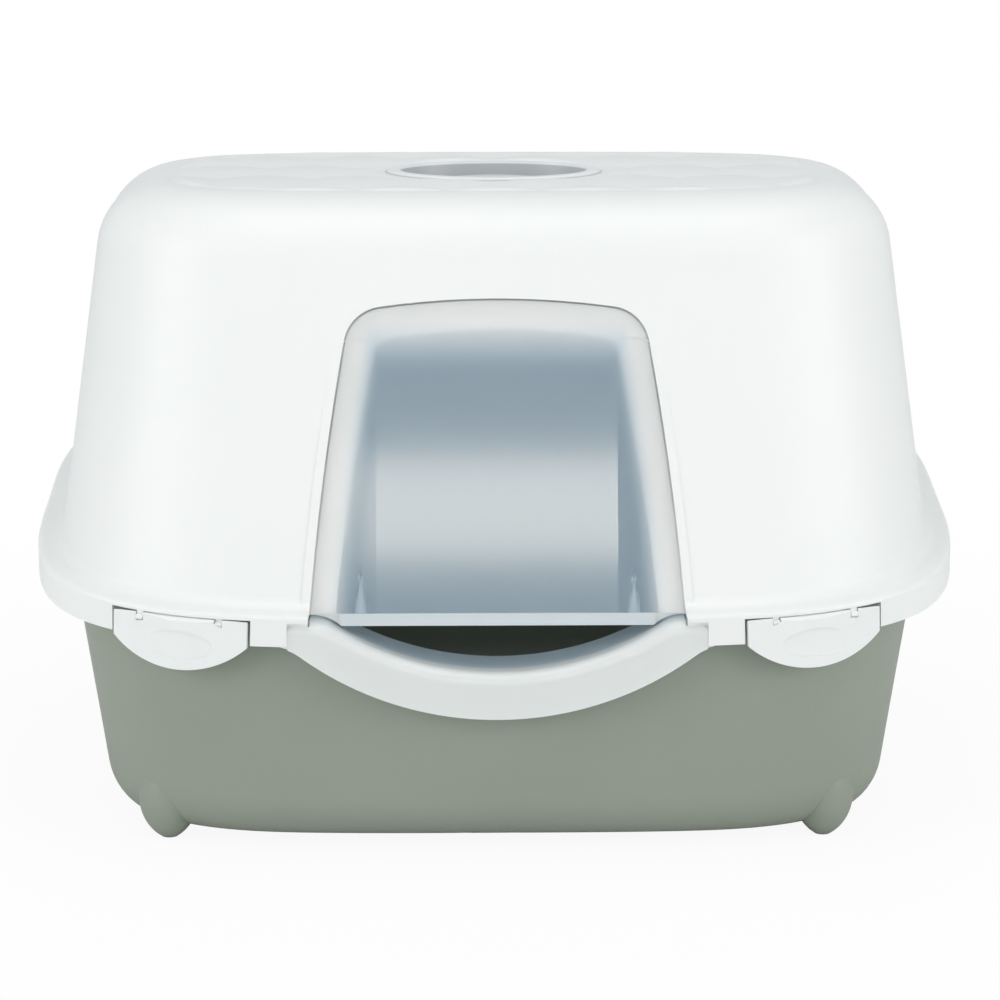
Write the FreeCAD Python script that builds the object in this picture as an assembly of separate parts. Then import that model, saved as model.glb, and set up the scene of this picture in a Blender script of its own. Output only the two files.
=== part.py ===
import FreeCAD, Part
import math
import os

from FreeCAD import Matrix, Vector

# Covered litter box: a tray, a lift-off hood with a hanging flap, an entry sill, a carry handle, rim clips.
# Millimetres, +Z up. The entry faces -Y, and the origin lies on the floor under the middle of the rim.

# Rim, where hood and tray meet: a rounded rectangle in plan, tilted up towards the back
rim_width = 560.0
rim_depth = 400.0
rim_front_level = 152.0
rim_back_level = 206.0
rim_skirt = 18.0
rim_skirt_wall = 3.0
rim_plate = 3.0
rim_edge_round = 2.4
rim_ledge = 14.5
ledge_fillet = 8.0
plan_exponent = 3.7
plan_point_count = 24

# Hood: drafted walls, a rounded crown and a flat top
overall_height = 384.0
hood_wall = 2.5
top_width = 472.0
top_depth = 251.0
top_setback = 3.0
crown_radius = 42.0

# Tray: drafted walls on a rounded bottom edge, with a flange under the hood's rim
tray_wall = 2.5
tray_ledge = 10.5
tray_side_ledge = 19.5
tray_flange_inset = 5.5
tray_flange = 3.0
tray_draft_share = 0.09
tray_side_draft_share = 0.143
tray_floor_exponent = 4.3
tray_bottom_round = 32.0
seat_gap = 0.3

# Feet: four hollow bulges under the tray's lower corners
foot_lift = 5.5
foot_pad_radius = 5.0
foot_knee_radius = 13.6
foot_knee_level = 9.0
foot_shoulder_radius = 17.4
foot_shoulder_level = 19.0
foot_top_radius = 8.0
foot_height = 48.0
foot_bearing_deg = 34.6
foot_inset = 13.0

# Door bay: a recess in the hood's front wall that the flap hangs in
door_bottom_half = 109.3
door_mid_half = 100.0
door_top_half = 85.5
door_drop = 10.0
door_shoulder = 172.0
door_crown = 7.5
door_corner = 24.0
bay_flange = 15.0
bay_bottom_depth = 7.5
bay_top_depth = 32.0
bay_room = 3.0
bay_wall = 2.0

# Flap: a frosted panel with a flat middle, two wings, a bottom bead and two stiffening darts
flap_gap = 1.0
flap_thickness = 2.0
flap_setback = 1.5
flap_crease_half = 70.0
flap_wing_setback = 2.4
flap_sill_gap = 1.5
bead_height = 7.0
bead_depth = 4.0
bead_end_gap = 3.0
dart_place = 79.0
dart_radius = 5.0
dart_tip_radius = 0.8
dart_height = 38.0

# Flap hinge: a pin at each side of the flap turns in the bay's side wall
hinge_rise = 155.0
hinge_depth = 4.4
knuckle_start = 74.0
knuckle_end = 83.5
knuckle_radius = 2.0
flap_pin_end = 92.0
flap_pin_radius = 1.5
pin_clearance = 0.08
pin_end_gap = 1.5

# Entry: a dip in the rim, covered by a trim over a lip of the hood
entry_low = 118.0
entry_radius = 180.0
entry_blend = 25.0
entry_high = 148.0
apron_low = 91.0
apron_radius = 192.0
apron_blend = 28.0
sill_half_width = 121.0
sill_thickness = 2.0
sill_gap = 0.2
sill_reach = 40.0
sill_round = 7.0
lip_setback = 0.3
lip_wall = 2.5
lip_reach = 28.0
lip_overlap = 4.0
lip_tray_gap = 0.5
tray_entry_margin = 9.0

# Rim clips: plates that turn on lugs under the rim plate
clip_place_share = 0.657
clip_width = 82.0
clip_side_gap = 1.6
clip_notch_reach = 16.0
clip_proud = 1.2
clip_thickness = 2.4
clip_end_drop = 19.0
clip_middle_drop = 35.0
clip_roll_radius = 3.0
clip_roll_gap = 0.4
clip_lug_place = 22.0
clip_lug_width = 4.0
clip_lug_radius = 1.8
clip_slot_gap = 0.4
clip_pin_radius = 1.0
clip_turn_deg = 60.0
clip_ridge = 2.6
clip_ridge_height = 3.0
clip_ridge_drop = 9.0
clip_ridge_width = 50.0
thumb_width = 42.0
thumb_height = 17.0
thumb_depth = 0.8
thumb_drop = 20.0

# Carry handle: an arched bar across an oval finger bowl in the top
bowl_width = 122.0
bowl_depth = 78.0
bowl_setback = 3.0
bowl_rim_width = 6.0
bowl_rim_proud = 1.5
bowl_wall = 2.0
bowl_drop = 34.0
bowl_floor_width = 100.0
bowl_floor_depth = 56.0
bowl_gap = 0.3
bar_depth = 22.0
bar_thickness = 7.0
bar_round = 2.5
bar_top_drop = 3.0
bar_end_drop = 9.0
bar_end_gap = 0.3
bar_pin_radius = 3.0
bar_pin_root = 50.0
bar_pin_length = 11.0

# One overrun for every cut, and how far an edge or face has to follow a direction to be picked by it
overrun = 30.0
facing_share = 0.5
parallel_share = 0.99

rim_half_width = rim_width / 2
rim_half_depth = rim_depth / 2
rim_mid_level = (rim_front_level + rim_back_level) / 2
rim_rise = (rim_back_level - rim_front_level) / 2
hood_top = overall_height - bowl_rim_proud


def rim_level(y):
    """Height of the rim's top at a distance y behind the middle."""
    return rim_mid_level + rim_rise * y / rim_half_depth


def plan_radius(half_x, half_y, angle, exponent):
    """Polar radius of the superellipse that gives the plan its rounded corners."""
    along = abs(math.cos(angle) / half_x) ** exponent
    across = abs(math.sin(angle) / half_y) ** exponent
    return (along + across) ** (-1 / exponent)


def plan_points(half_x, half_y, level, rise, setback, exponent):
    """Points round a plan outline, from the middle of the back, on a plane that climbs towards the back."""
    points = []
    for index in range(plan_point_count):
        angle = math.pi / 2 + 2 * math.pi * index / plan_point_count
        radius = plan_radius(half_x, half_y, angle, exponent)
        y = setback + radius * math.sin(angle)
        points.append(Vector(radius * math.cos(angle), y, level + rise * y / rim_half_depth))
    return points


def plan_knots():
    """Distance run along the rim's outline at each of its points, shared by every plan outline."""
    points = plan_points(rim_half_width, rim_half_depth, 0, 0, 0, plan_exponent)
    knots = [0.0]
    for index, point in enumerate(points):
        knots.append(knots[-1] + point.distanceToPoint(points[(index + 1) % plan_point_count]))
    return knots


def plan_wire(half_x, half_y, level, rise, setback, exponent=plan_exponent):
    """Closed smooth plan outline."""
    curve = Part.BSplineCurve()
    points = plan_points(half_x, half_y, level, rise, setback, exponent)
    curve.interpolate(Points=points, PeriodicFlag=True, Parameters=plan_knots())
    return Part.Wire([curve.toShape()])


def plan_prism(inset, low, high):
    """Upright block inside the rim's outline, between two heights above the rim's own plane."""
    wire = plan_wire(rim_half_width - inset, rim_half_depth - inset, rim_mid_level + low, rim_rise, 0)
    return Part.Face(wire).extrude(Vector(0, 0, high - low))


def box_between(low, high):
    """Box between two opposite corners."""
    size = high - low
    return Part.makeBox(size.x, size.y, size.z, low)


def mix(first, second, share):
    """Value at a share of the way from first to second."""
    return first + (second - first) * share


def bell_curve(low, radius, blend, high):
    """Edges of a dip: a wide arc at the bottom that two smaller arcs ease into level ground at both sides."""
    centre = Vector(0, 0, low + radius)
    fall = centre.z - (high - blend)
    reach = math.sqrt((radius + blend) ** 2 - fall ** 2)
    edges = []
    for side in (-1, 1):
        turn = Vector(side * reach, 0, high - blend)
        ground = turn + Vector(0, 0, blend)
        join = centre + (turn - centre) * (radius / (radius + blend))
        middle = turn + ((ground - turn) + (join - turn)).normalize() * blend
        ends = (ground, join) if side < 0 else (join, ground)
        edges.append((ends, Part.Arc(ends[0], middle, ends[1]).toShape()))
    bottom = Part.Arc(edges[0][0][1], Vector(0, 0, low), edges[1][0][0]).toShape()
    return edges[0][0][0], [edges[0][1], bottom, edges[1][1]], edges[1][0][1]


def above_bell(low, radius, blend, high, back):
    """Block over a dip curve that opens to the front, up to the hood's top and back to a distance along Y."""
    start, edges, end = bell_curve(low, radius, blend, high)
    corners = [end, Vector(rim_half_width, 0, high), Vector(rim_half_width, 0, hood_top)]
    corners += [Vector(-rim_half_width, 0, hood_top), Vector(-rim_half_width, 0, high), start]
    closing = [Part.LineSegment(a, b).toShape() for a, b in zip(corners, corners[1:])]
    face = Part.Face(Part.Wire(edges + closing))
    front = -rim_half_depth - overrun
    face.translate(Vector(0, front, 0))
    return face.extrude(Vector(0, back - front, 0))


def entry_space(offset):
    """Space over the entry dip lowered by offset."""
    return above_bell(
        entry_low - offset, entry_radius + offset, entry_blend - offset, entry_high - offset, 0
    )


def front_box(half_width, back, low, high):
    """Box across the front of the rim, from before it to a distance behind its foremost edge."""
    return box_between(
        Vector(-half_width, -rim_half_depth - overrun, low), Vector(half_width, -rim_half_depth + back, high)
    )


def faces_along(shape, edge, direction):
    """Whether one of the two faces at an edge of a shape looks along a direction."""
    for face in shape.ancestorsOfType(edge, Part.Face):
        low_u, high_u, low_v, high_v = face.ParameterRange
        if face.normalAt((low_u + high_u) / 2, (low_v + high_v) / 2).dot(direction) > facing_share:
            return True
    return False


def lip_block(inset, half_width, back, edge_round):
    """Solid step under the entry dip, inset from the trim's outer faces, with its front crest rounded."""
    apron = above_bell(apron_low, apron_radius, apron_blend, rim_front_level - rim_skirt, 0)
    block = plan_prism(inset, apron_low - rim_back_level, 0).common(front_box(half_width, back, 0, hood_top))
    block = block.common(apron).cut(entry_space(inset))
    crest = [
        edge for edge in block.Edges
        if faces_along(block, edge, Vector(0, 0, 1)) and faces_along(block, edge, Vector(0, -1, 0))
    ]
    return block.makeFillet(edge_round, crest)


# Door bay and flap work in a frame on the hood's front wall: u along X, v up the wall, w out of it
door_foot = Vector(0, -rim_half_depth + rim_ledge, rim_level(-rim_half_depth + rim_ledge))
door_head = Vector(0, top_setback - top_depth / 2, hood_top)
door_up = (door_head - door_foot).normalize()
door_out = Vector(0, -door_up.z, door_up.y)


def at_door(u, v, w):
    """Point in the door's frame."""
    return door_foot + Vector(u, 0, 0) + door_up * v + door_out * w


def door_prism(grow, bottom, inner, outer):
    """Block with the door's outline grown by a margin, between two distances out of the wall."""
    low_half = door_bottom_half + grow
    mid_half = door_mid_half + grow
    top_half = door_top_half + grow
    shoulder = door_shoulder + grow
    middle = (shoulder - door_drop) / 2
    left_foot = at_door(-low_half, bottom, inner)
    right_foot = at_door(low_half, bottom, inner)
    left_bend = at_door(-low_half, -door_drop, inner)
    right_bend = at_door(low_half, -door_drop, inner)
    left_top = at_door(-top_half, shoulder, inner)
    right_top = at_door(top_half, shoulder, inner)
    edges = [Part.LineSegment(left_foot, right_foot).toShape()]
    if bottom < -door_drop:
        edges.append(Part.LineSegment(right_foot, right_bend).toShape())
    edges.append(Part.Arc(right_bend, at_door(mid_half, middle, inner), right_top).toShape())
    edges.append(Part.Arc(right_top, at_door(0, shoulder + door_crown, inner), left_top).toShape())
    edges.append(Part.Arc(left_top, at_door(-mid_half, middle, inner), left_bend).toShape())
    if bottom < -door_drop:
        edges.append(Part.LineSegment(left_bend, left_foot).toShape())
    block = Part.Face(Part.Wire(edges)).extrude(door_out * (outer - inner))
    corners = []
    for edge in block.Edges:
        span = edge.Vertexes[-1].Point - edge.Vertexes[0].Point
        upright = edge.Length > 0 and abs(span.dot(door_out)) > edge.Length * parallel_share
        if upright and (edge.Vertexes[0].Point - door_foot).dot(door_up) > middle:
            corners.append(edge)
    return block.makeFillet(door_corner + grow, corners)


def side_prism(points, half_width):
    """Block whose outline is given up and out of the door's wall, spread to both sides of the middle."""
    corners = [at_door(-half_width, v, w) for v, w in points]
    return Part.Face(Part.makePolygon(corners + corners[:1])).extrude(Vector(2 * half_width, 0, 0))


def bay_floor(v):
    """Depth of the bay's floor behind the wall at a height up the wall: deeper towards the hinge."""
    return -mix(bay_bottom_depth, bay_top_depth, (v + door_drop) / (door_shoulder + door_drop))


def behind_floor(depth):
    """Everything more than a depth behind the bay's floor."""
    low = -door_drop - overrun
    high = door_shoulder + overrun
    far = -bay_top_depth - 2 * overrun
    outline = [(low, bay_floor(low) - depth), (high, bay_floor(high) - depth), (high, far), (low, far)]
    return side_prism(outline, rim_half_width)


def hinge_barrel(side, radius, start, end):
    """Round bar on the flap's hinge line, between two distances to one side of the middle."""
    foot = at_door(side * start, hinge_rise, -hinge_depth)
    return Part.makeCylinder(radius, end - start, foot, Vector(side, 0, 0))


def ring_solid(outlines):
    """Solid whose skin runs straight from each plan outline to the next, closed by flat ends."""
    return Part.makeLoft([plan_wire(*outline) for outline in outlines], True, True)


def rounded(solid, outline, radius):
    """The solid with its edge along a plan outline rounded."""
    target = plan_wire(*outline).BoundBox

    def misfit(edge):
        box = edge.BoundBox
        return abs(box.XLength - target.XLength) + abs(box.ZMax - target.ZMax) + abs(box.ZMin - target.ZMin)

    return solid.makeFillet(radius, [min(solid.Edges, key=misfit)])


def rim_outline(inset, height):
    """Plan outline inside the rim's edge, at a height over the rim's plane."""
    return (rim_half_width - inset, rim_half_depth - inset, rim_mid_level + height, rim_rise, 0)


def top_outline(inset):
    """Plan outline of the hood's top before its edge is rounded."""
    return (top_width / 2 - inset, top_depth / 2 - inset, hood_top - inset, 0, top_setback)


def tray_rim_outline(inset, height):
    """Plan outline inside the tray's outer wall where it meets the flange, at a height over the rim's plane."""
    half_width = rim_half_width - tray_side_ledge - inset
    return (half_width, rim_half_depth - tray_ledge - inset, rim_mid_level + height, rim_rise, 0)


def tray_floor_outline(inset):
    """Plan outline of the tray's flat bottom before its edge is rounded."""
    height = rim_mid_level - rim_plate - seat_gap - foot_lift
    half_width = rim_half_width - tray_side_ledge - tray_side_draft_share * height - inset
    half_depth = rim_half_depth - tray_ledge - tray_draft_share * height - inset
    return (half_width, half_depth, foot_lift + inset, 0, 0, tray_floor_exponent)


def clip_frame(front, right):
    """Placement of a clip: X along the rim, -Y out of it, Z up, at the rim's upper outer edge."""
    x = clip_place_share * rim_half_width
    y = rim_half_depth * (1 - clip_place_share ** plan_exponent) ** (1 / plan_exponent)
    slope = (x / rim_half_width) ** (plan_exponent - 1) / rim_half_width
    slope /= (y / rim_half_depth) ** (plan_exponent - 1) / rim_half_depth
    along = Vector(1, slope if right else -slope, 0)
    place = Vector(x if right else -x, -y, 0)
    if not front:
        along = Vector(-1, slope if right else -slope, 0)
        place = Vector(x if right else -x, y, 0)
    along.z = along.y * rim_rise / rim_half_depth
    along.normalize()
    inward = Vector(0, 0, 1).cross(along).normalize()
    up = along.cross(inward)
    place.z = rim_level(place.y)
    return Matrix(
        along.x, inward.x, up.x, place.x,
        along.y, inward.y, up.y, place.y,
        along.z, inward.z, up.z, place.z,
        0, 0, 0, 1,
    )


clip_axis_drop = rim_plate + clip_roll_gap + clip_roll_radius
clip_axis_inset = clip_roll_radius - clip_proud
clip_bore_half = clip_lug_place + clip_lug_width + clip_slot_gap
clips = {
    "clip_front_left": clip_frame(True, False),
    "clip_front_right": clip_frame(True, True),
    "clip_rear_left": clip_frame(False, False),
    "clip_rear_right": clip_frame(False, True),
}


def placed(shape, frame):
    """Copy of a shape carried from a clip's own frame to its place on the rim."""
    return shape.transformed(frame, True)


def clip_roll(radius, half_length):
    """Round bar on a clip's hinge line, spread to both sides of its middle."""
    base = Vector(-half_length, clip_axis_inset, -clip_axis_drop)
    return Part.makeCylinder(radius, 2 * half_length, base, Vector(1, 0, 0))


def make_clip(frame):
    """Rim clip: a plate that follows the rim, with a hinge roll, a snap ridge and a thumb dish."""
    half = clip_width / 2
    top_left = Vector(-half, 0, -clip_axis_drop)
    top_right = Vector(half, 0, -clip_axis_drop)
    low_left = Vector(-half, 0, -clip_end_drop)
    low_right = Vector(half, 0, -clip_end_drop)
    edges = [
        Part.LineSegment(low_left, top_left).toShape(),
        Part.LineSegment(top_left, top_right).toShape(),
        Part.LineSegment(top_right, low_right).toShape(),
        Part.Arc(low_right, Vector(0, 0, -clip_middle_drop), low_left).toShape(),
    ]
    face = Part.Face(Part.Wire(edges))
    face.translate(Vector(0, -overrun, 0))
    plate = placed(face.extrude(Vector(0, 2 * overrun, 0)), frame)
    envelope = plan_prism(-clip_proud, -clip_middle_drop - overrun, overrun)
    hollow = plan_prism(clip_thickness - clip_proud, -clip_middle_drop - 2 * overrun, 2 * overrun)
    plate = plate.common(envelope).cut(hollow)
    roll = placed(clip_roll(clip_roll_radius, half), frame).common(envelope)
    ridge_low = Vector(-clip_ridge_width / 2, 0, -clip_ridge_drop - clip_ridge_height)
    ridge_high = Vector(clip_ridge_width / 2, clip_thickness - clip_proud + clip_ridge, -clip_ridge_drop)
    ridge = placed(box_between(ridge_low, ridge_high), frame)
    clip = plate.fuse([roll, ridge])
    clip = clip.cut([placed(clip_slot(side), frame) for side in (-1, 1)])
    pin = placed(clip_roll(clip_pin_radius, clip_bore_half), frame)
    clip = clip.fuse(pin)
    thumb = Part.Ellipse(Vector(0, 0, 0), thumb_width / 2, thumb_height / 2).toShape()
    dish = Part.Face(Part.Wire([thumb])).extrude(Vector(0, 0, overrun))
    dish.rotate(Vector(0, 0, 0), Vector(1, 0, 0), 90)
    dish.translate(Vector(0, thumb_depth - clip_proud, -thumb_drop))
    return clip.cut(placed(dish, frame))


def clip_notch(frame):
    """Gap in the rim's skirt that a clip fills."""
    half = clip_width / 2 + clip_side_gap
    low = Vector(-half, -overrun, -rim_skirt - overrun)
    high = Vector(half, clip_notch_reach, overrun)
    return placed(box_between(low, high), frame).common(plan_prism(-overrun, low.z - overrun, -rim_plate))


def clip_lug_start(side, gap):
    """Where a lug, widened by a gap, begins along the clip."""
    return side * (clip_lug_place + clip_lug_width / 2) - clip_lug_width / 2 - gap


def clip_slot(side):
    """Slot in a clip's roll for a lug, open to the rear and as far forward as the lug comes when it turns."""
    start = clip_lug_start(side, clip_slot_gap)
    length = Vector(clip_lug_width + 2 * clip_slot_gap, 0, 0)
    axis = Vector(start, clip_axis_inset, -clip_axis_drop)
    angle = math.radians(clip_turn_deg)
    corner = axis - Vector(0, 0, clip_slot_gap)
    front = corner + Vector(0, -math.sin(angle), math.cos(angle)) * overrun
    corners = [
        corner,
        corner + Vector(0, overrun, 0),
        corner + Vector(0, overrun, overrun),
        Vector(start, front.y, corner.z + overrun),
        front,
    ]
    wedge = Part.Face(Part.makePolygon(corners + corners[:1])).extrude(length)
    return wedge.fuse(Part.makeCylinder(clip_lug_radius + clip_slot_gap, length.x, axis, Vector(1, 0, 0)))


def clip_lugs(frame):
    """Two hinge lugs of a clip: a post under the rim plate, behind the hinge line, and a round eye."""
    lugs = []
    for side in (-1, 1):
        axis = Vector(clip_lug_start(side, 0), clip_axis_inset, -clip_axis_drop)
        high = Vector(axis.x + clip_lug_width, clip_axis_inset + clip_roll_radius, -rim_plate / 2)
        eye = Part.makeCylinder(clip_lug_radius, clip_lug_width, axis, Vector(1, 0, 0))
        lugs.append(placed(box_between(axis, high).fuse(eye), frame))
    return Part.makeCompound(lugs)


def oval(width, depth, level):
    """Elliptical wire in plan, wider along X, on the handle's centre."""
    centre = Vector(0, bowl_setback, level)
    return Part.Wire([Part.Ellipse(centre, width / 2, depth / 2).toShape()])


def oval_cone(low_width, low_depth, low, high_width, high_depth, high):
    """Tapered elliptical block between two levels."""
    return Part.makeLoft([oval(low_width, low_depth, low), oval(high_width, high_depth, high)], True, True)


def make_tray():
    """Tray: a thin pan with a flange, four feet and a dip for the entry."""
    seat = -rim_plate - seat_gap
    floor = tray_floor_outline(0)
    inner_floor = tray_floor_outline(tray_wall)
    pan = ring_solid(
        [
            floor,
            tray_rim_outline(0, seat - tray_flange),
            rim_outline(tray_flange_inset, seat - tray_flange),
            rim_outline(tray_flange_inset, seat),
            tray_rim_outline(tray_wall, seat),
            inner_floor,
        ]
    )
    pan = rounded(pan, floor, tray_bottom_round)
    pan = rounded(pan, inner_floor, tray_bottom_round - tray_wall)
    half_wall = tray_wall / 2
    core_floor = tray_floor_outline(half_wall)
    core = ring_solid([core_floor, tray_rim_outline(half_wall, seat)])
    core = rounded(core, core_floor, tray_bottom_round - half_wall)
    feet = on_corners(make_foot(0).cut(core))
    hollows = on_corners(make_foot(tray_wall))
    offset = sill_thickness + sill_gap + lip_setback + lip_wall + lip_tray_gap
    gate = front_box(sill_half_width + tray_entry_margin, rim_half_depth, 0, hood_top)
    return pan.fuse(feet).cut(hollows + [entry_space(offset).common(gate)])


def on_corners(shape):
    """A shape at the right rear corner and its mirror images at the other three."""
    pair = [shape, shape.mirror(Vector(0, 0, 0), Vector(1, 0, 0))]
    return pair + [one.mirror(Vector(0, 0, 0), Vector(0, 1, 0)) for one in pair]


def make_foot(inset):
    """Turned bulge of the right rear foot: a flat pad under a smoothly swelling side, less an inset."""
    pad_edge = Vector(foot_pad_radius - inset, 0, inset)
    knee = Vector(foot_knee_radius - inset, 0, foot_knee_level)
    shoulder = Vector(foot_shoulder_radius - inset, 0, foot_shoulder_level)
    top_edge = Vector(foot_top_radius - inset, 0, foot_height - inset)
    pad_centre = Vector(0, 0, inset)
    top_centre = Vector(0, 0, foot_height - inset)
    side = Part.BSplineCurve()
    side.interpolate(Points=[pad_edge, knee, shoulder, top_edge])
    edges = [
        Part.LineSegment(pad_centre, pad_edge).toShape(),
        side.toShape(),
        Part.LineSegment(top_edge, top_centre).toShape(),
        Part.LineSegment(top_centre, pad_centre).toShape(),
    ]
    foot = Part.Face(Part.Wire(edges)).revolve(Vector(0, 0, 0), Vector(0, 0, 1), 360)
    angle = math.radians(foot_bearing_deg)
    floor = tray_floor_outline(0)
    radius = plan_radius(floor[0], floor[1], angle, tray_floor_exponent) - foot_inset
    foot.translate(Vector(radius * math.cos(angle), radius * math.sin(angle), 0))
    return foot


def make_hood():
    """Hood: thin walls on a flanged rim, with the door bay, the entry lip, lugs and the handle's hole."""
    top = top_outline(0)
    inner_top = top_outline(hood_wall)
    ledge = rim_outline(rim_ledge, 0)
    rim_edge = rim_outline(0, 0)
    shell = ring_solid(
        [
            top,
            ledge,
            rim_edge,
            rim_outline(0, -rim_skirt),
            rim_outline(rim_skirt_wall, -rim_skirt),
            rim_outline(rim_skirt_wall, -rim_plate),
            rim_outline(rim_ledge + hood_wall, -rim_plate),
            inner_top,
        ]
    )
    shell = rounded(shell, top, crown_radius)
    shell = rounded(shell, inner_top, crown_radius - hood_wall)
    shell = rounded(shell, ledge, ledge_fillet)
    shell = rounded(shell, rim_edge, rim_edge_round)
    hole = oval_cone(bowl_width, bowl_depth, hood_top - overrun, bowl_width, bowl_depth, hood_top + overrun)
    notches = [clip_notch(frame) for frame in clips.values()]
    hood = shell.fuse(make_bay()).cut(bay_hollows() + notches + [hole, sill_seat()])
    lugs = [clip_lugs(frame) for frame in clips.values()]
    hood = hood.fuse(lugs + [entry_lip()])
    bore_radius = clip_pin_radius + pin_clearance
    bores = [placed(clip_roll(bore_radius, clip_bore_half), frame) for frame in clips.values()]
    bore_radius = flap_pin_radius + pin_clearance
    bores += [hinge_barrel(side, bore_radius, knuckle_end, flap_pin_end + pin_end_gap) for side in (-1, 1)]
    return hood.cut(bores)


def make_bay():
    """Walls and floor of the door bay before it is hollowed, kept inside the hood's skin."""
    block = door_prism(bay_room + bay_wall, -door_drop, -bay_top_depth - overrun, -hood_wall / 2)
    return block.cut(behind_floor(bay_wall)).common(entry_space(-seat_gap))


def bay_hollows():
    """What the bay leaves open: room for the flap, its mouth in the wall, and the entry opening behind it."""
    foot = -door_drop - overrun
    back = -bay_top_depth - overrun
    room = door_prism(bay_room, foot, back, -hood_wall).cut(behind_floor(0))
    mouth = door_prism(0, foot, -hood_wall - bay_wall, overrun)
    opening = door_prism(-bay_flange, foot, back, overrun)
    return [room, mouth, opening]


def entry_lip():
    """Lip that carries the rim's skirt down and under the entry, behind the sill."""
    offset = sill_thickness + sill_gap + lip_setback
    half = sill_half_width + lip_overlap
    shell = lip_block(offset, half, lip_reach, sill_round - offset)
    return shell.cut(lip_block(offset + lip_wall, half, lip_reach, sill_round - offset - lip_wall))


def sill_seat():
    """Space in front of the lip that the sill's front and wings lie in."""
    space = front_box(sill_half_width + sill_gap, rim_half_depth, 0, entry_high + sill_gap)
    return space.cut(plan_prism(sill_thickness + sill_gap, apron_low - rim_back_level - overrun, overrun))


def make_sill():
    """Entry sill: a frosted trim that covers the lip's top and front, with a wing at each side."""
    shell = lip_block(0, sill_half_width, sill_reach, sill_round)
    core = lip_block(sill_thickness, sill_half_width, sill_reach, sill_round - sill_thickness)
    trim = shell.cut(core)
    inner = plan_prism(sill_thickness, apron_low - rim_back_level, overrun)
    return trim.cut(inner.cut(front_box(door_bottom_half - flap_gap, rim_half_depth, 0, hood_top)))


def make_flap():
    """Flap: a three-faceted panel with a bead, two darts and the hinge knuckles and pins."""
    outer_half = door_bottom_half
    crease = flap_crease_half
    wing = -flap_setback - flap_wing_setback
    front = [(-outer_half, wing), (-crease, -flap_setback), (crease, -flap_setback), (outer_half, wing)]
    back = [(u, w - flap_thickness) for u, w in reversed(front)]
    corners = [at_door(u, -door_drop - overrun, w) for u, w in front + back]
    length = door_shoulder + 2 * overrun
    sheet = Part.Face(Part.makePolygon(corners + corners[:1])).extrude(door_up * length)
    outline = door_prism(-flap_gap, -door_drop, -overrun, overrun)
    panel = sheet.common(outline)
    inner_face = -flap_setback - flap_thickness
    bead_half = door_bottom_half - bay_flange - bead_end_gap
    bead = side_prism(
        [
            (-door_drop, -flap_setback),
            (bead_height - door_drop, -flap_setback),
            (bead_height - door_drop, inner_face - bead_depth + flap_thickness),
            (-door_drop, inner_face - bead_depth + flap_thickness),
        ],
        bead_half,
    )
    pieces = [bead]
    for side in (-1, 1):
        foot = at_door(side * dart_place, -door_drop, inner_face)
        pieces.append(Part.makeCone(dart_radius, dart_tip_radius, dart_height, foot, door_up))
        pieces.append(hinge_barrel(side, knuckle_radius, knuckle_start, knuckle_end))
        pieces.append(hinge_barrel(side, flap_pin_radius, knuckle_start, flap_pin_end))
    flap = panel.fuse(pieces)
    in_front = side_prism(
        [
            (-door_drop - overrun, -flap_setback),
            (door_shoulder + overrun, -flap_setback),
            (door_shoulder + overrun, overrun),
            (-door_drop - overrun, overrun),
        ],
        rim_half_width,
    )
    return flap.cut(in_front).common(entry_space(-flap_sill_gap))


def make_bowl():
    """Handle bowl: an oval cup with a rim that rests on the hood's top, holed for the bar's pins."""
    mouth_width = bowl_width - 2 * bowl_gap
    mouth_depth = bowl_depth - 2 * bowl_gap
    bottom = hood_top - bowl_drop
    cup = oval_cone(bowl_floor_width, bowl_floor_depth, bottom, mouth_width, mouth_depth, hood_top)
    rim = oval_cone(
        bowl_width + 2 * bowl_rim_width, bowl_depth + 2 * bowl_rim_width, hood_top,
        bowl_width + bowl_rim_width, bowl_depth + bowl_rim_width, overall_height,
    )
    return cup.fuse(rim).cut([bowl_hollow(0)] + [bar_pin(side, pin_clearance) for side in (-1, 1)])


def bowl_hollow(inset):
    """Inside of the bowl, shrunk by an inset from its inner face."""
    trim = 2 * bowl_wall + 2 * inset
    return oval_cone(
        bowl_floor_width - trim, bowl_floor_depth - trim, hood_top - bowl_drop + bowl_wall + inset,
        bowl_width - 2 * bowl_gap - trim, bowl_depth - 2 * bowl_gap - trim, overall_height + bowl_wall,
    )


def bar_pin(side, clearance):
    """Round pin at one end of the bar, along X, widened by a clearance."""
    level = hood_top - bar_end_drop - bar_thickness / 2
    start = min(side * bar_pin_root, side * (bar_pin_root + bar_pin_length))
    foot = Vector(start, bowl_setback, level)
    return Part.makeCylinder(bar_pin_radius + clearance, bar_pin_length, foot, Vector(1, 0, 0))


def make_handle():
    """Carry handle: an arched bar with a pin at each end, trimmed to the bowl's inside."""
    half = bowl_width / 2
    end = hood_top - bar_end_drop
    middle = hood_top - bar_top_drop
    drop = Vector(0, 0, -bar_thickness)
    left = Vector(-half, bowl_setback - bar_depth / 2, end)
    right = Vector(half, left.y, end)
    crest = Vector(0, left.y, middle)
    edges = [
        Part.Arc(left, crest, right).toShape(),
        Part.LineSegment(right, right + drop).toShape(),
        Part.Arc(right + drop, crest + drop, left + drop).toShape(),
        Part.LineSegment(left + drop, left).toShape(),
    ]
    bar = Part.Face(Part.Wire(edges)).extrude(Vector(0, bar_depth, 0))
    bar = bar.makeFillet(bar_round, [edge for edge in bar.Edges if edge.BoundBox.XLength > half])
    return bar.common(bowl_hollow(bar_end_gap)).fuse([bar_pin(side, 0) for side in (-1, 1)])


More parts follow.
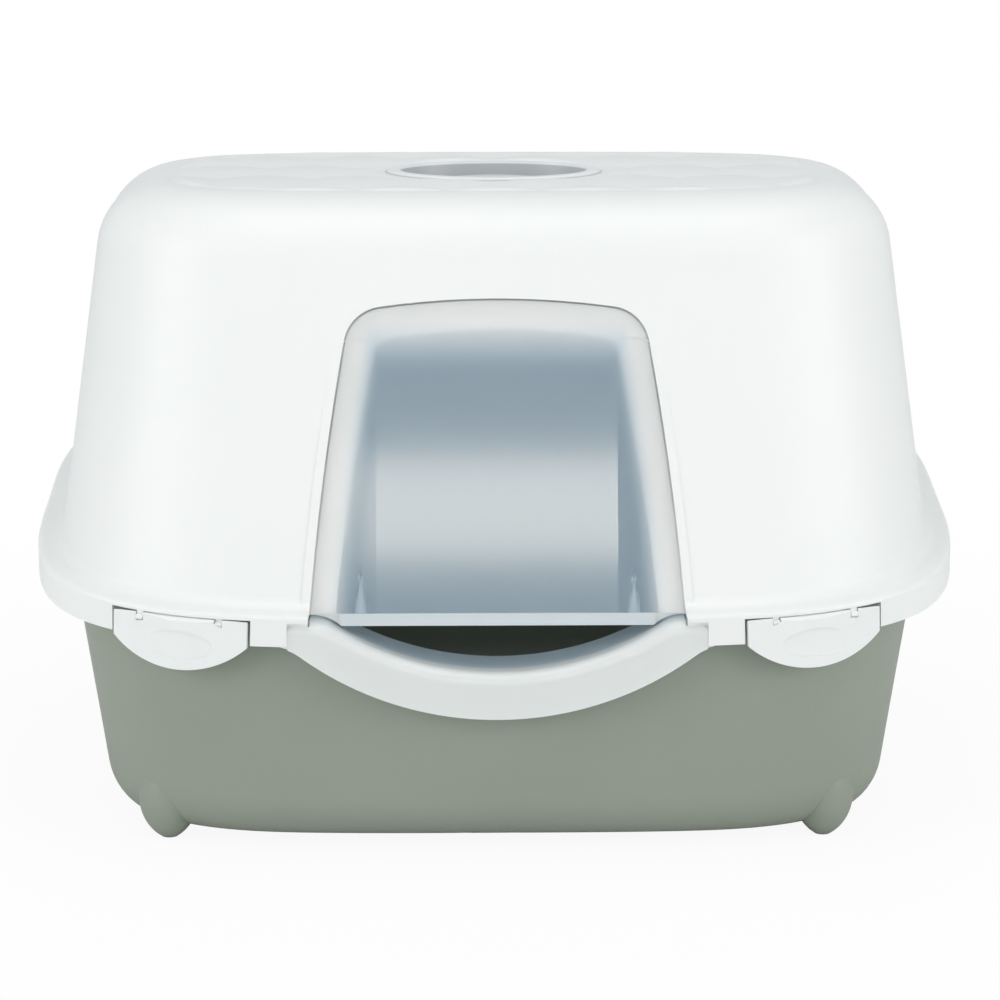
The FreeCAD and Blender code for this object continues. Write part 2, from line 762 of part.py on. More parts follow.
os.makedirs("parts", exist_ok=True)
pieces = {
    "tray": make_tray(),
    "hood": make_hood(),
    "flap": make_flap(),
    "entry_sill": make_sill(),
    "handle_bowl": make_bowl(),
    "carry_handle": make_handle(),
}
for name, frame in clips.items():
    pieces[name] = make_clip(frame)
for name, shape in pieces.items():
    print(name, shape.ShapeType, len(shape.Solids), round(shape.Volume), shape.isValid())
    shape.exportStep("parts/" + name + ".step")
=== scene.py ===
import logging
import math
from dataclasses import dataclass
from enum import Enum
from typing import Any, Dict, List, Optional, Tuple

import bpy
import numpy as np
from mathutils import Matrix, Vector


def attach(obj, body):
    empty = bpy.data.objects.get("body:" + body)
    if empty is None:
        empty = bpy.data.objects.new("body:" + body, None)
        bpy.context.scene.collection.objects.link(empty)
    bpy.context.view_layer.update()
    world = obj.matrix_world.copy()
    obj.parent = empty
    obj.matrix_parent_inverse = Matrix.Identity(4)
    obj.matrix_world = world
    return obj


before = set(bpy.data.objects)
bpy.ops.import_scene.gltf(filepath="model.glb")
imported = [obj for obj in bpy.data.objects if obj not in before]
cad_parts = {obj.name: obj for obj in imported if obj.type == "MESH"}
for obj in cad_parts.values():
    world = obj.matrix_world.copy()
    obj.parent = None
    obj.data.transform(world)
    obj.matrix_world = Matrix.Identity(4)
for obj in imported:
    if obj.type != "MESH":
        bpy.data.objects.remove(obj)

log = logging.getLogger("litter_box")

# Mean of a noise, and the strength of the finer octaves in grain and frost
MEAN = 0.5
FINE = 0.6

Colour = Tuple[float, float, float]
Place = Tuple[float, float, float]
Pair = Tuple[float, float]


class Value:
    """A shader socket that carries one number, with the sums that shading needs."""

    def __init__(self, graph: "Graph", socket: Any) -> None:
        """Keep the socket and the graph that it belongs to."""
        self.graph = graph
        self.socket = socket

    def _math(self, operation: str, first: Any, second: Any = 0.0) -> "Value":
        """Add one Math node.

        Args:
            operation: The node's operation.
            first: Its first number or value.
            second: Its second number or value.

        Returns:
            The node's result.
        """
        node = self.graph.node("ShaderNodeMath", {"operation": operation}, {0: first, 1: second})
        return Value(self.graph, node.outputs[0])

    def __add__(self, other: Any) -> "Value":
        """Sum."""
        return self._math("ADD", self, other)

    __radd__ = __add__

    def __sub__(self, other: Any) -> "Value":
        """Difference."""
        return self._math("SUBTRACT", self, other)

    def __rsub__(self, other: Any) -> "Value":
        """Difference from a number."""
        return self._math("SUBTRACT", other, self)

    def __mul__(self, other: Any) -> "Value":
        """Product."""
        return self._math("MULTIPLY", self, other)

    __rmul__ = __mul__

    def __truediv__(self, other: Any) -> "Value":
        """Quotient."""
        return self._math("DIVIDE", self, other)

    def __rtruediv__(self, other: Any) -> "Value":
        """Quotient of a number."""
        return self._math("DIVIDE", other, self)

    def __pow__(self, other: Any) -> "Value":
        """Power."""
        return self._math("POWER", self, other)

    def __abs__(self) -> "Value":
        """Absolute value."""
        return self._math("ABSOLUTE", self)

    def at_least(self, other: Any) -> "Value":
        """The greater of the two."""
        return self._math("MAXIMUM", self, other)

    def step(self, low: float, high: float) -> "Value":
        """Smooth step from 0 at low to 1 at high."""
        node = self.graph.node(
            "ShaderNodeMapRange",
            {"interpolation_type": "SMOOTHSTEP"},
            {0: self, 1: low, 2: high, 3: 0.0, 4: 1.0},
        )
        return Value(self.graph, node.outputs[0])


class Graph:
    """A tree of shader nodes that belongs to a material or the world."""

    def __init__(self, owner: Any) -> None:
        """Empty the owner's tree.

        Args:
            owner: A material or a world.
        """
        owner.use_nodes = True
        self.tree = owner.node_tree
        self.tree.nodes.clear()

    def node(self, kind: str, settings: Dict[str, Any], inputs: Dict[Any, Any]) -> Any:
        """Add a node.

        Args:
            kind: The node's type.
            settings: Properties set before the sockets.
            inputs: A number, colour, socket or Value for each socket.

        Returns:
            The node.
        """
        node = self.tree.nodes.new(kind)
        for name, setting in settings.items():
            setattr(node, name, setting)
        for key, given in inputs.items():
            self.join(node.inputs[key], given)
        return node

    def join(self, socket: Any, given: Any) -> None:
        """Link a socket to a source, or set it.

        Args:
            socket: The input socket.
            given: A number, colour, socket or Value.
        """
        source = given.socket if isinstance(given, Value) else given
        if isinstance(source, bpy.types.NodeSocket):
            self.tree.links.new(source, socket)
        else:
            socket.default_value = (*source, 1.0) if isinstance(source, tuple) else source

    def seen_by(self, *rays: str) -> Value:
        """Whether a ray is one of some kinds.

        Args:
            rays: Kinds of ray, as the Light Path node names them after "Is".

        Returns:
            1 for these rays and 0 for the others.
        """
        path = self.node("ShaderNodeLightPath", {}, {})
        found = Value(self, path.outputs[f"Is {rays[0]} Ray"])
        for ray in rays[1:]:
            found = found.at_least(Value(self, path.outputs[f"Is {ray} Ray"]))
        return found

    def unscattered(self) -> Value:
        """1 for rays that no matte surface has scattered yet, and 0 for the others."""
        path = self.node("ShaderNodeLightPath", {}, {})
        return 1.0 - Value(self, path.outputs["Diffuse Depth"]).step(0.0, 1.0)


class Shade(Graph):
    """A node material with one Principled shader."""

    def __init__(self, name: str) -> None:
        """Make the material, empty but for its shader and output."""
        self.material = bpy.data.materials.new(name)
        super().__init__(self.material)
        self.body = self.node("ShaderNodeBsdfPrincipled", {}, {})
        self.output = self.node("ShaderNodeOutputMaterial", {}, {"Surface": self.body.outputs[0]})
        self._place: Optional[Any] = None

    def place(self) -> Any:
        """Object coordinates, in metres."""
        if self._place is None:
            self._place = self.node("ShaderNodeTexCoord", {}, {}).outputs["Object"]
        return self._place

    def axis(self, index: int) -> Value:
        """One object coordinate: 0, 1 or 2 for X, Y or Z."""
        return Value(self, self.node("ShaderNodeSeparateXYZ", {}, {0: self.place()}).outputs[index])

    def noise(self, scale: float, detail: float = 2.0, rough: float = 0.5) -> Value:
        """Noise over the surface.

        Args:
            scale: Cells per metre.
            detail: Octaves.
            rough: Strength of the finer octaves.

        Returns:
            A value round one half.
        """
        inputs = {"Vector": self.place(), "Scale": scale, "Detail": detail, "Roughness": rough}
        return Value(self, self.node("ShaderNodeTexNoise", {}, inputs).outputs[0])

    def mix(self, factor: Value, first: Any, second: Any) -> Any:
        """Colour between two colours.

        Args:
            factor: Share of the second.
            first: Colour or colour socket.
            second: Colour or colour socket.

        Returns:
            The mixed colour's socket.
        """
        node = self.node("ShaderNodeMix", {"data_type": "RGBA"}, {0: factor, 6: first, 7: second})
        return node.outputs[2]

    def feed(self, **inputs: Any) -> None:
        """Set or link sockets of the Principled shader; underscores stand for spaces."""
        for name, given in inputs.items():
            self.join(self.body.inputs[name.replace("_", " ")], given)

    def cover(self, mask: Value, inputs: Dict[str, Any]) -> None:
        """Mix a second body into the material.

        Args:
            mask: Its share, from 0 to 1.
            inputs: A number, colour, socket or Value for each socket of its shader.
        """
        body = self.node("ShaderNodeBsdfPrincipled", {}, inputs)
        mixed = self.node("ShaderNodeMixShader", {}, {0: mask, 1: self.body.outputs[0], 2: body.outputs[0]})
        self.join(self.output.inputs["Surface"], mixed.outputs[0])

    def bump(self, height: Value, strength: float, depth: float) -> None:
        """Let a height roughen the surface.

        Args:
            height: Height from 0 to 1.
            strength: Share of the effect.
            depth: Metres from 0 to 1.
        """
        node = self.node("ShaderNodeBump", {}, {"Strength": strength, "Distance": depth, "Height": height})
        self.feed(Normal=node.outputs[0])


@dataclass(frozen=True)
class MouldedPlastic:
    """Opaque moulded plastic: a fine spark-eroded grain, faint flow clouds and scuffed gloss.

    Attributes:
        name: The material's name.
        colour: Its main colour.
        cloud: Colour of the clouds.
        roughness: Mean roughness.
        grain_scale: Grains per metre.
        grain_depth: Depth of a grain in metres.
        specular: Level of the gloss.
        cloud_scale: Clouds per metre.
        cloud_edges: Noise values between which a cloud fades in.
        scuff_scale: Scuffs per metre.
        scuff: Change of the roughness by scuffs.
        grain_gloss: Change of the roughness by the grain.
        grain_strength: Share of the grain's effect on the light.
        octaves: Octaves of the clouds and the scuffs.
    """

    name: str
    colour: Colour
    cloud: Colour
    roughness: float
    grain_scale: float
    grain_depth: float
    specular: float = 0.5
    cloud_scale: float = 9.0
    cloud_edges: Pair = (0.35, 0.7)
    scuff_scale: float = 60.0
    scuff: float = 0.12
    grain_gloss: float = 0.08
    grain_strength: float = 0.35
    octaves: float = 3.0

    def tint(self, shade: Shade) -> Any:
        """Colour of the plastic, with its faint clouds.

        Args:
            shade: The material.

        Returns:
            The colour's socket.
        """
        clouds = shade.noise(self.cloud_scale, self.octaves).step(*self.cloud_edges)
        return shade.mix(clouds, self.colour, self.cloud)

    def make(self) -> bpy.types.Material:
        """Build the material."""
        shade = Shade(self.name)
        grain = shade.noise(self.grain_scale, 2.0, FINE)
        scuffs = shade.noise(self.scuff_scale, self.octaves)
        shade.feed(
            Base_Color=self.tint(shade),
            Roughness=self.roughness + (scuffs - MEAN) * self.scuff + (grain - MEAN) * self.grain_gloss,
            Specular_IOR_Level=self.specular,
        )
        shade.bump(grain, self.grain_strength, self.grain_depth)
        return shade.material


@dataclass(frozen=True)
class CupPlastic(MouldedPlastic):
    """Moulded plastic of the handle's bowl: white on its rim, with painted shade that makes it greyer down in
    the cup.

    Attributes:
        painted_cup_shade: Colour of the painted shade down in the cup.
        rim_level: Height above which the rim's colour holds.
        blend: Height over which the two mix.
    """

    painted_cup_shade: Colour = (0.42, 0.44, 0.46)
    rim_level: float = 0.3836
    blend: float = 0.0012

    def tint(self, shade: Shade) -> Any:
        """Colour of the plastic, mixed by height between the painted shade of the cup and the rim's colour.

        Args:
            shade: The material.

        Returns:
            The colour's socket.
        """
        # Painted shade: below the rim level the bowl turns grey, standing in for the shade down in the cup.
        height = shade.axis(2).step(self.rim_level - self.blend, self.rim_level)
        return shade.mix(height, self.painted_cup_shade, super().tint(shade))


@dataclass(frozen=True)
class FrostedPlastic:
    """Translucent plastic: light passes through its frosted body under a smooth moulded skin.

    Attributes:
        name: The material's name.
        colour: Its main colour.
        cloud: Colour of the clouds.
        through: Share of the light that passes.
        roughness: Mean roughness of the frosted body.
        index: Refractive index of the body.
        skin: Weight of the smooth skin.
        skin_roughness: Roughness of the skin.
        skin_index: Refractive index of the skin.
        cloud_scale: Clouds per metre.
        cloud_edges: Noise values between which a cloud fades in.
        frost_scale: Frost cells per metre.
        frost_gloss: Change of the roughness by the frost.
        frost_strength: Share of the frost's effect on the light.
        frost_depth: Depth of the frost in metres.
        lamp_share: Share of the passing lamplight that reaches what lies behind.
    """

    name: str
    colour: Colour
    cloud: Colour
    through: float
    roughness: float
    index: float
    skin: float
    skin_roughness: float
    skin_index: float = 1.5
    cloud_scale: float = 14.0
    cloud_edges: Pair = (0.3, 0.75)
    frost_scale: float = 1400.0
    frost_gloss: float = 0.1
    frost_strength: float = 0.15
    frost_depth: float = 0.00004
    lamp_share: float = 0.8

    def tint(self, shade: Shade) -> Any:
        """Colour of the plastic, with its faint clouds.

        Args:
            shade: The material.

        Returns:
            The colour's socket.
        """
        clouds = shade.noise(self.cloud_scale, 3.0).step(*self.cloud_edges)
        return shade.mix(clouds, self.colour, self.cloud)

    def clearness(self, shade: Shade) -> Any:
        """Share of the lamplight that falls through onto what lies behind.

        Args:
            shade: The material.

        Returns:
            A number or a value.
        """
        return self.through * self.lamp_share

    def shadow(self, shade: Shade) -> Value:
        """Opacity: 1 for every ray but those that look for lamps.

        Args:
            shade: The material.

        Returns:
            The opacity.
        """
        return 1.0 - shade.seen_by("Shadow") * self.clearness(shade)

    def thicken(self, shade: Shade) -> None:
        """Make thicker parts milkier; a plain sheet has none.

        Args:
            shade: The material.
        """

    def make(self) -> bpy.types.Material:
        """Build the material."""
        shade = Shade(self.name)
        frost = shade.noise(self.frost_scale, 2.0, FINE)
        shade.feed(
            Base_Color=self.tint(shade),
            Roughness=self.roughness + (frost - MEAN) * self.frost_gloss,
            Transmission_Weight=self.through,
            Alpha=self.shadow(shade),
            IOR=self.index,
            Coat_Weight=self.skin,
            Coat_Roughness=self.skin_roughness,
            Coat_IOR=self.skin_index,
        )
        shade.bump(frost, self.frost_strength, self.frost_depth)
        self.thicken(shade)
        return shade.material


@dataclass(frozen=True)
class SillPlastic(FrostedPlastic):
    """Frosted plastic of the sill, with painted shade: darker and bluer where its rear edge juts out over the
    dark inside.

    Attributes:
        painted_rear_shade: Colour of the painted shade on the rear edge.
        painted_rear_shade_start: Place along Y where that painted shade begins.
        painted_rear_shade_end: Place along Y from which it is full.
    """

    painted_rear_shade: Colour = (0.60, 0.73, 0.80)
    painted_rear_shade_start: float = -0.190
    painted_rear_shade_end: float = -0.182

    def tint(self, shade: Shade) -> Any:
        """Colour of the plastic, mixed by the distance along Y into the painted shade of the rear edge.

        Args:
            shade: The material.

        Returns:
            The colour's socket.
        """
        # Painted shade: the rear edge turns darker and bluer, standing in for the dark inside seen through
        # it.
        return shade.mix(shade.axis(1).step(self.painted_rear_shade_start, self.painted_rear_shade_end), super().tint(shade), self.painted_rear_shade)


@dataclass(frozen=True)
class FlapPlastic(FrostedPlastic):
    """Frosted plastic of the flap, milky along its bottom bead and its two darts; where the bay's flange lies
    behind it a paler, stronger haze is painted light, and the darker tint of its middle is painted shade.

    Attributes:
        haze: Colour of the light that the thin sheet scatters back.
        haze_share: Share of the light that it scatters in the middle.
        painted_flange_light_share: The same share, as painted light, in front of the bay's flange.
        painted_top_light_share: Further share of painted light along the upper edge.
        painted_flange_light: Colour of that painted light in front of the flange.
        painted_middle_shade: Colour of the light that passes through the middle, darkened as painted shade of
            the dark inside.
        milk: Colour of the thick parts.
        foot: Y and Z of the wall's foot, where the height up the flap is zero.
        up: Y and Z of the direction up the flap.
        bead_low: Height up the flap of its lower edge.
        bead_high: Height of the bead's upper edge.
        top: Height where the flange's upper border begins.
        length: Height of the flap.
        half_widths: Half width inside the flange: at the bottom, and its two falls to the top.
        side_edge: Distances from that width between which the side border fades in.
        top_edge: The same for the upper border.
        painted_top_light_edge: The same for the painted light along the upper edge.
        clear_middle: Share of the lamplight that falls through the middle.
        clear_border: What the border adds to that share.
        bead_milk: Milkiness of the bead.
        bead_edge: Half width of the bead's soft edge.
        dart_milk: Milkiness of a dart.
        dart_edge: Distances from a dart's border between which it fades in.
        haze_roughness: Roughness of the scattering body.
        dart_place: Distance of a dart from the middle.
        dart_half: Half width of a dart at the bead.
        dart_high: Height of a dart's tip.
    """

    haze: Colour = (0.60, 0.84, 1.0)
    haze_share: float = 0.19
    # Painted light in front of the flange and along the upper edge.
    painted_flange_light_share: float = 0.35
    painted_top_light_share: float = 0.05
    painted_flange_light: Colour = (0.89, 0.905, 0.91)
    # Painted shade of the dark inside, in the flap's middle.
    painted_middle_shade: Colour = (0.58, 0.63, 0.72)
    milk: Colour = (0.60, 0.63, 0.645)
    foot: Pair = (-0.1855, 0.15396)
    up: Pair = (0.26575, 0.96404)
    bead_low: float = -0.010
    bead_high: float = -0.0028
    top: float = 0.157
    length: float = 0.182
    half_widths: Tuple[float, float, float] = (0.0935, 0.0134, 0.0104)
    side_edge: Pair = (-0.010, 0.006)
    top_edge: Pair = (-0.022, 0.012)
    painted_top_light_edge: Pair = (-0.02, 0.015)
    clear_middle: float = 0.35
    clear_border: float = 0.6
    bead_milk: float = 0.85
    bead_edge: float = 0.0006
    dart_milk: float = 0.45
    dart_edge: Pair = (-0.0004, 0.0036)
    haze_roughness: float = 0.6
    dart_place: float = 0.079
    dart_half: float = 0.0062
    dart_high: float = 0.030

    def height(self, shade: Shade) -> Value:
        """Height up the flap, v = (y - y0) uy + (z - z0) uz.

        Args:
            shade: The material.

        Returns:
            The height in metres.
        """
        along, upright = shade.axis(1) - self.foot[0], shade.axis(2) - self.foot[1]
        return along * self.up[0] + upright * self.up[1]

    def border(self, shade: Shade) -> Value:
        """Share of the border that lies in front of the bay's flange.

        The flange's inner half width is w = w0 - w1 t - w2 t^2, with t the share of the way up.

        Args:
            shade: The material.

        Returns:
            1 on the border and 0 in the middle, with a soft edge.
        """
        height = self.height(shade)
        rise = (height - self.bead_low) / self.length
        half = self.half_widths[0] - rise * self.half_widths[1] - rise * rise * self.half_widths[2]
        beside = (abs(shade.axis(0)) - half).step(*self.side_edge)
        return beside.at_least((height - self.top).step(*self.top_edge))

    def tint(self, shade: Shade) -> Any:
        """Colour of the plastic: darkened in the middle as painted shade of the dark inside behind, plain at
        the border.

        Args:
            shade: The material.

        Returns:
            The colour's socket.
        """
        # Painted shade: the middle passes darker, bluer light, standing in for the dark inside behind it.
        return shade.mix(self.border(shade), self.painted_middle_shade, super().tint(shade))

    def clearness(self, shade: Shade) -> Any:
        """Share of the lamplight that falls through: more at the border, close to the flange.

        Args:
            shade: The material.

        Returns:
            The share's value.
        """
        return self.border(shade) * self.clear_border + self.clear_middle

    def thicken(self, shade: Shade) -> None:
        """Add the haze of the sheet, with painted light in front of the flange and along the upper edge, and
        make the bead and the darts milkier.

        A dart is a wedge whose half width falls straight from dart_half at the bead to nothing at
        dart_high.

        Args:
            shade: The material.
        """
        height = self.height(shade)
        bead = (self.bead_high - height).step(-self.bead_edge, self.bead_edge)
        taper = (self.dart_high - height) * (self.dart_half / (self.dart_high - self.bead_low))
        off = abs(abs(shade.axis(0)) - self.dart_place)
        dart = (taper - off).step(*self.dart_edge)
        thick = (bead * self.bead_milk).at_least(dart * self.dart_milk)
        # Painted light: in front of the flange and along the upper edge the haze grows stronger and paler.
        border = self.border(shade)
        haze = self.haze_share - border * (self.haze_share - self.painted_flange_light_share)
        haze = haze + (height - self.top).step(*self.painted_top_light_edge) * self.painted_top_light_share
        inputs = {
            "Base Color": shade.mix(thick, shade.mix(border, self.haze, self.painted_flange_light), self.milk),
            "Roughness": self.haze_roughness,
            "Alpha": self.shadow(shade),
            "Coat Weight": self.skin,
            "Coat Roughness": self.skin_roughness,
        }
        shade.cover(thick.at_least(haze), inputs)


class Finish(Enum):
    """The finishes of the litter box."""

    HOOD = MouldedPlastic(
        "white_hood_plastic", (0.79, 0.803, 0.795), (0.78, 0.795, 0.788), 0.44, 1100.0, 0.00008
    )
    CLIP = MouldedPlastic(
        "white_clip_plastic", (0.785, 0.80, 0.797), (0.775, 0.79, 0.788), 0.40, 1300.0, 0.00006
    )
    BOWL = CupPlastic(
        "white_bowl_plastic", (0.78, 0.795, 0.80), (0.77, 0.787, 0.793), 0.38, 1200.0, 0.00006
    )
    # Painted shade: the handle bar is the hood's white plastic, greyed to stand in for the shade of the bowl
    # round it.
    HANDLE = MouldedPlastic(
        "handle_plastic_painted_shade", (0.59, 0.61, 0.635), (0.58, 0.60, 0.625), 0.36, 1200.0, 0.00006
    )
    TRAY = MouldedPlastic(
        "grey_green_tray_plastic", (0.277, 0.308, 0.260), (0.267, 0.299, 0.250), 0.52, 800.0, 0.00012, 0.4
    )
    FLAP = FlapPlastic(
        "frosted_flap_plastic", (0.97, 0.975, 0.965), (0.955, 0.965, 0.955), 1.0, 0.3, 1.3, 1.0, 0.08
    )
    SILL = SillPlastic(
        "frosted_sill_plastic", (0.905, 0.93, 0.925), (0.895, 0.92, 0.917), 0.45, 0.4, 1.3, 0.6, 0.2
    )


def dress(target: bpy.types.Object, material: bpy.types.Material) -> None:
    """Give an object one material.

    Args:
        target: The object.
        material: Its material.
    """
    target.data.materials.clear()
    target.data.materials.append(material)
    target.data.polygons.foreach_set("material_index", np.zeros(len(target.data.polygons), np.int32))


def grid_mesh(name: str, points: np.ndarray) -> bpy.types.Object:
    """Make a smooth sheet from a grid of points.

    Args:
        name: The object's name.
        points: Array of rows by columns by 3, in metres.

    Returns:
        The new object, linked to the scene.
    """
    rows, columns = points.shape[:2]
    index = np.arange(rows * columns).reshape(rows, columns)
    corners = (index[:-1, :-1], index[:-1, 1:], index[1:, 1:], index[1:, :-1])
    quads = np.stack([corner.ravel() for corner in corners], axis=1)
    mesh = bpy.data.meshes.new(name)
    mesh.vertices.add(rows * columns)
    mesh.vertices.foreach_set("co", points.reshape(-1).astype(np.float32))
    mesh.loops.add(quads.size)
    mesh.loops.foreach_set("vertex_index", quads.ravel().astype(np.int32))
    mesh.polygons.add(len(quads))
    mesh.polygons.foreach_set("loop_start", np.arange(0, quads.size, 4, dtype=np.int32))
    mesh.polygons.foreach_set("use_smooth", np.ones(len(quads), bool))
    mesh.update(calc_edges=True)
    mesh.validate()
    piece = bpy.data.objects.new(name, mesh)
    bpy.context.scene.collection.objects.link(piece)
    return piece


@dataclass
class TopRelief:
    """Shallow scalloped bubbles moulded into the hood's flat top, round the handle's bowl.

    Attributes:
        level: Height of the flat top.
        half_width: Half extent along X.
        half_depth: Half extent along Y.
        setback: Place of the middle along Y.
        bowl_half_width: Half extent of the bowl's rim along X.
        bowl_half_depth: Half extent of the bowl's rim along Y.
        exponent: Power of the outer border's superellipse.
        pitch: Distance between neighbouring bubbles.
        dome_share: Radius of a bubble as a share of the pitch.
        rise: Height of a bubble over the top.
        lift: Height of the creases over the top.
        margin: Width over which the relief sinks away at both borders.
        sink: Depth of the borders under the top.
        turns: Grid points round the bowl.
        rings: Grid points from the bowl to the outer border.
    """

    level: float = 0.3825
    half_width: float = 0.1985
    half_depth: float = 0.0915
    setback: float = 0.003
    bowl_half_width: float = 0.0672
    bowl_half_depth: float = 0.0452
    exponent: int = 4
    pitch: float = 0.056
    dome_share: float = 0.58
    rise: float = 0.0018
    lift: float = 0.00015
    margin: float = 0.009
    sink: float = 0.0004
    turns: int = 561
    rings: int = 81

    def heights(self, x: np.ndarray, y: np.ndarray) -> np.ndarray:
        """Height of the relief over its creases.

        Each bubble is a dome 1 - (d / r)^2 round the nearest point of a triangular lattice, with d
        the distance to that point and r a little over half the pitch, so that neighbours meet in a
        crease. The nearest point is the nearer of two rectangular lattices shifted by half a cell.

        Args:
            x: Places along X.
            y: Places along Y.

        Returns:
            Heights in metres, same shape as x.
        """
        step = self.pitch * math.sqrt(3.0)
        first = np.hypot(x - self.pitch * np.round(x / self.pitch), y - step * np.round(y / step))
        half_x = self.pitch * (np.floor(x / self.pitch) + 0.5)
        half_y = step * (np.floor(y / step) + 0.5)
        second = np.hypot(x - half_x, y - half_y)
        share = np.minimum(first, second) / (self.pitch * self.dome_share)
        return self.rise * np.clip(1.0 - share**2, 0.0, 1.0)

    def build(self, finish: bpy.types.Material) -> bpy.types.Object:
        """Make the sheet and let it ride on the hood.

        The sheet is a ring: at the angle t and the share s its plan is (1 - s) E(t) + s B(t), with E
        the ellipse of the bowl's rim and B the superellipse |x / a|^n + |y / b|^n = 1. It lies at
        level + lift + height, and sinks by a smooth step towards both borders.

        Args:
            finish: Its material.

        Returns:
            The sheet.
        """
        around = np.linspace(0.0, 2 * math.pi, self.turns)
        turn, share = np.meshgrid(around, np.linspace(0.0, 1.0, self.rings))
        along, across = np.cos(turn), np.sin(turn)
        power = self.exponent
        reach = ((along / self.half_width) ** power + (across / self.half_depth) ** power) ** (-1.0 / power)
        inner = np.stack([self.bowl_half_width * along, self.bowl_half_depth * across])
        outer = np.stack([reach * along, reach * across])
        plan = inner + (outer - inner) * share
        x, y = plan[0], plan[1] + self.setback
        width = np.hypot(*(outer - inner))
        fade = np.clip(np.minimum(share, 1.0 - share) * width / self.margin, 0.0, 1.0)
        fade = fade * fade * (3.0 - 2.0 * fade)
        z = self.level - self.sink + fade * (self.sink + self.lift + self.heights(x, y))
        piece = grid_mesh("top_relief", np.stack([x, y, z], axis=-1))
        dress(piece, finish)
        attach(piece, "hood")
        return piece


@dataclass
class Box:
    """The litter box itself: the finishes of its moulded pieces and its relief."""

    relief: TopRelief

    def dress_nodes(self) -> List[str]:
        """Give every CAD node its finish.

        Returns:
            The names of the dressed nodes.
        """
        made = {finish: finish.value.make() for finish in Finish}
        finishes = {
            "tray": Finish.TRAY,
            "hood": Finish.HOOD,
            "flap": Finish.FLAP,
            "entry_sill": Finish.SILL,
            "handle_bowl": Finish.BOWL,
            "carry_handle": Finish.HANDLE,
        }
        for name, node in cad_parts.items():
            dress(node, made[finishes.get(name, Finish.CLIP)])
        self.relief.build(made[Finish.HOOD])
        return sorted(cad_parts) + ["top_relief"]


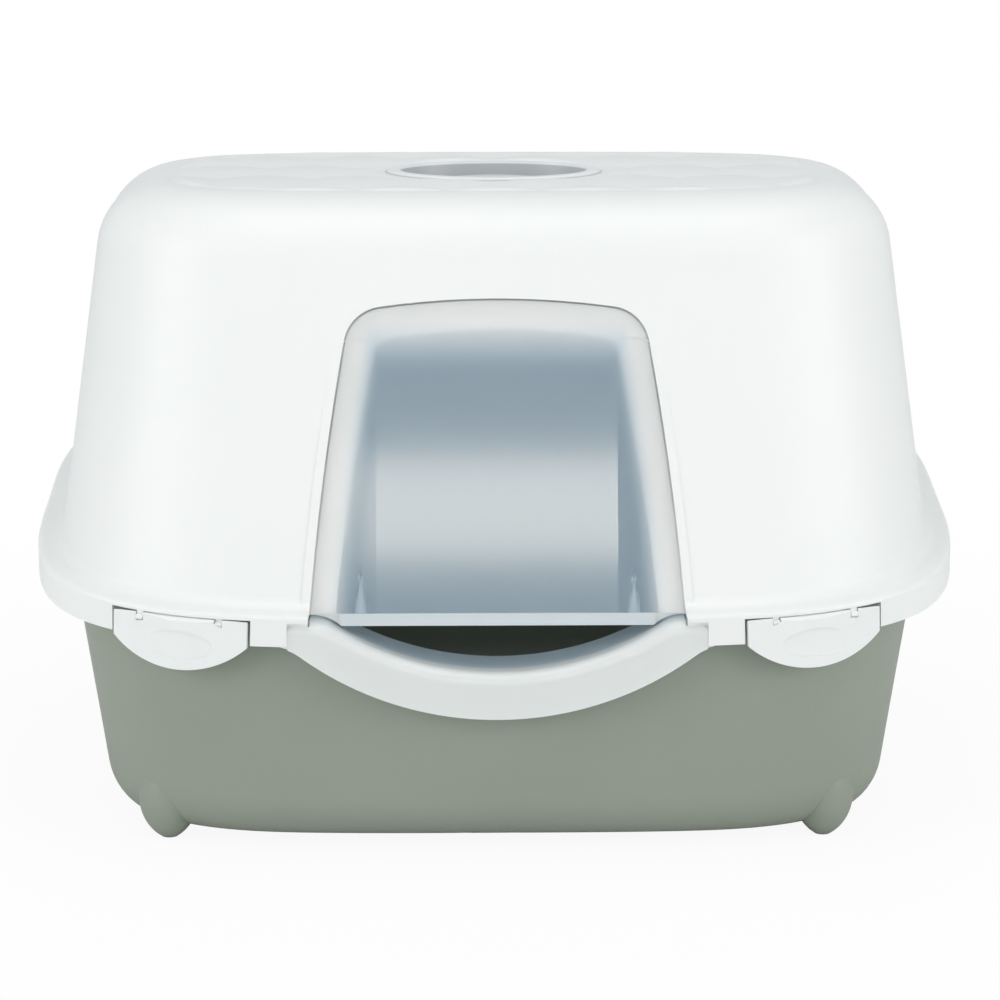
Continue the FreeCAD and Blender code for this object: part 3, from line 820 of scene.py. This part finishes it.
@dataclass
class Studio:
    """White studio: floor, world, lamps and camera.

    Attributes:
        camera_place: Where the camera stands.
        pitch: Its tilt downwards, in radians.
        yaw: Its turn to the right, in radians.
        lens: Its focal length in millimetres.
        sensor: Width of its sensor in millimetres.
        sky: Colour of the surroundings' light.
        sky_strength: Strength of that light.
        ground: Colour of the floor.
        ground_half: Half width of the floor.
        ground_drop: Depth of the floor under the feet.
        ground_white: Share of plain white in the seen floor near the object.
        ground_fade: Distances between which the rest of it turns white too.
    """

    camera_place: Place = (-0.024, -2.0, 0.643)
    pitch: float = 0.230
    yaw: float = 0.0140
    lens: float = 117.1
    sensor: float = 36.0
    sky: Colour = (0.95, 0.985, 1.0)
    sky_strength: float = 0.5
    ground: Colour = (0.86, 0.865, 0.86)
    ground_half: float = 12.0
    ground_drop: float = 0.0005
    ground_white: float = 0.92
    ground_fade: Pair = (0.3, 0.9)

    def camera(self) -> None:
        """Set up the camera."""
        data = bpy.data.cameras.new("camera")
        data.lens = self.lens
        data.sensor_width = self.sensor
        data.clip_start = 0.05
        seen = bpy.data.objects.new("camera", data)
        seen.location = self.camera_place
        seen.rotation_euler = (math.pi / 2 - self.pitch, 0.0, -self.yaw)
        bpy.context.scene.collection.objects.link(seen)
        bpy.context.scene.camera = seen

    @staticmethod
    def lamp(
        name: str,
        place: Place,
        aim: Place,
        size: Pair,
        power: float,
        tint: Colour = (1.0, 1.0, 1.0),
        mirrored: bool = True,
    ) -> None:
        """Add a rectangular soft lamp that the camera doesn't see.

        Args:
            name: Its name.
            place: Where it stands.
            aim: The point that it faces.
            size: Its width and height.
            power: Its power in watts.
            tint: The colour of its light.
            mirrored: Whether glossy surfaces mirror it.
        """
        data = bpy.data.lights.new(name, "AREA")
        data.shape = "RECTANGLE"
        data.color = tint
        data.size, data.size_y = size
        data.energy = power
        lamp = bpy.data.objects.new(name, data)
        lamp.location = place
        lamp.rotation_euler = (Vector(aim) - Vector(place)).to_track_quat("-Z", "Y").to_euler()
        lamp.visible_camera = False
        lamp.visible_glossy = mirrored
        bpy.context.scene.collection.objects.link(lamp)

    def lamps(self) -> None:
        """Soft boxes at the sides, above and behind, a strip that the flap mirrors, and light in the hood."""
        middle = (0.0, 0.0, 0.2)
        self.lamp("left", (-2.35, -1.55, 1.05), middle, (1.4, 1.4), 27.7)
        self.lamp("right", (2.35, -1.55, 1.05), middle, (1.4, 1.4), 27.7)
        self.lamp("above", (0.0, -0.4, 2.2), middle, (1.8, 1.4), 13.8)
        self.lamp("behind", (0.0, 2.6, 1.1), middle, (1.6, 1.2), 12.0, mirrored=False)
        self.lamp("strip", (0.0, -2.5, 0.945), (0.0, -0.17, 0.21), (0.9, 0.14), 3.3, (1.0, 0.92, 0.8))
        cool = (0.95, 0.98, 1.0)
        self.lamp("through_hood", (0.0, -0.085, 0.342), (0.0, 0.14, 0.08), (0.3, 0.04), 0.06, cool)

    def world(self) -> None:
        """White surroundings: strength 1 where seen or looked through, weaker as light."""
        world = bpy.data.worlds.new("studio")
        graph = Graph(world)
        lit = graph.node("ShaderNodeBackground", {}, {"Color": self.sky, "Strength": self.sky_strength})
        seen = graph.node("ShaderNodeBackground", {}, {"Color": (1.0, 1.0, 1.0), "Strength": 1.0})
        share = graph.seen_by("Camera", "Transmission") * graph.unscattered()
        inputs = {0: share, 1: lit.outputs[0], 2: seen.outputs[0]}
        mixed = graph.node("ShaderNodeMixShader", {}, inputs)
        graph.node("ShaderNodeOutputWorld", {}, {"Surface": mixed.outputs[0]})
        bpy.context.scene.world = world

    def floor(self) -> None:
        """Pale floor that shows a faint shadow round the object and is white further away."""
        shade = Shade("studio_floor")
        shade.feed(Base_Color=self.ground, Roughness=0.9, Specular_IOR_Level=0.0)
        away = (shade.axis(0) ** 2.0 + shade.axis(1) ** 2.0) ** 0.5
        white = away.step(*self.ground_fade) * (1.0 - self.ground_white) + self.ground_white
        share = shade.seen_by("Camera") * white
        glow = shade.node("ShaderNodeEmission", {}, {"Color": (1.0, 1.0, 1.0), "Strength": 1.0})
        inputs = {0: share, 1: shade.body.outputs[0], 2: glow.outputs[0]}
        mixed = shade.node("ShaderNodeMixShader", {}, inputs)
        shade.join(shade.output.inputs["Surface"], mixed.outputs[0])
        spread = np.linspace(-self.ground_half, self.ground_half, 3)
        x, y = np.meshgrid(spread, spread)
        z = np.full_like(x, -self.ground_drop)
        ground = grid_mesh("studio_ground", np.stack([x, y, z], axis=-1))
        dress(ground, shade.material)

    def build(self) -> None:
        """Build the whole studio."""
        self.floor()
        self.world()
        self.lamps()
        self.camera()


def main() -> None:
    logging.basicConfig(level=logging.INFO, format="%(name)s: %(message)s")
    scene = bpy.context.scene
    scene.view_settings.view_transform = "Standard"
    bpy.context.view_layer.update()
    Studio().build()
    for name in Box(TopRelief()).dress_nodes():
        log.info("dressed %s", name)


if __name__ == "__main__":
    main()
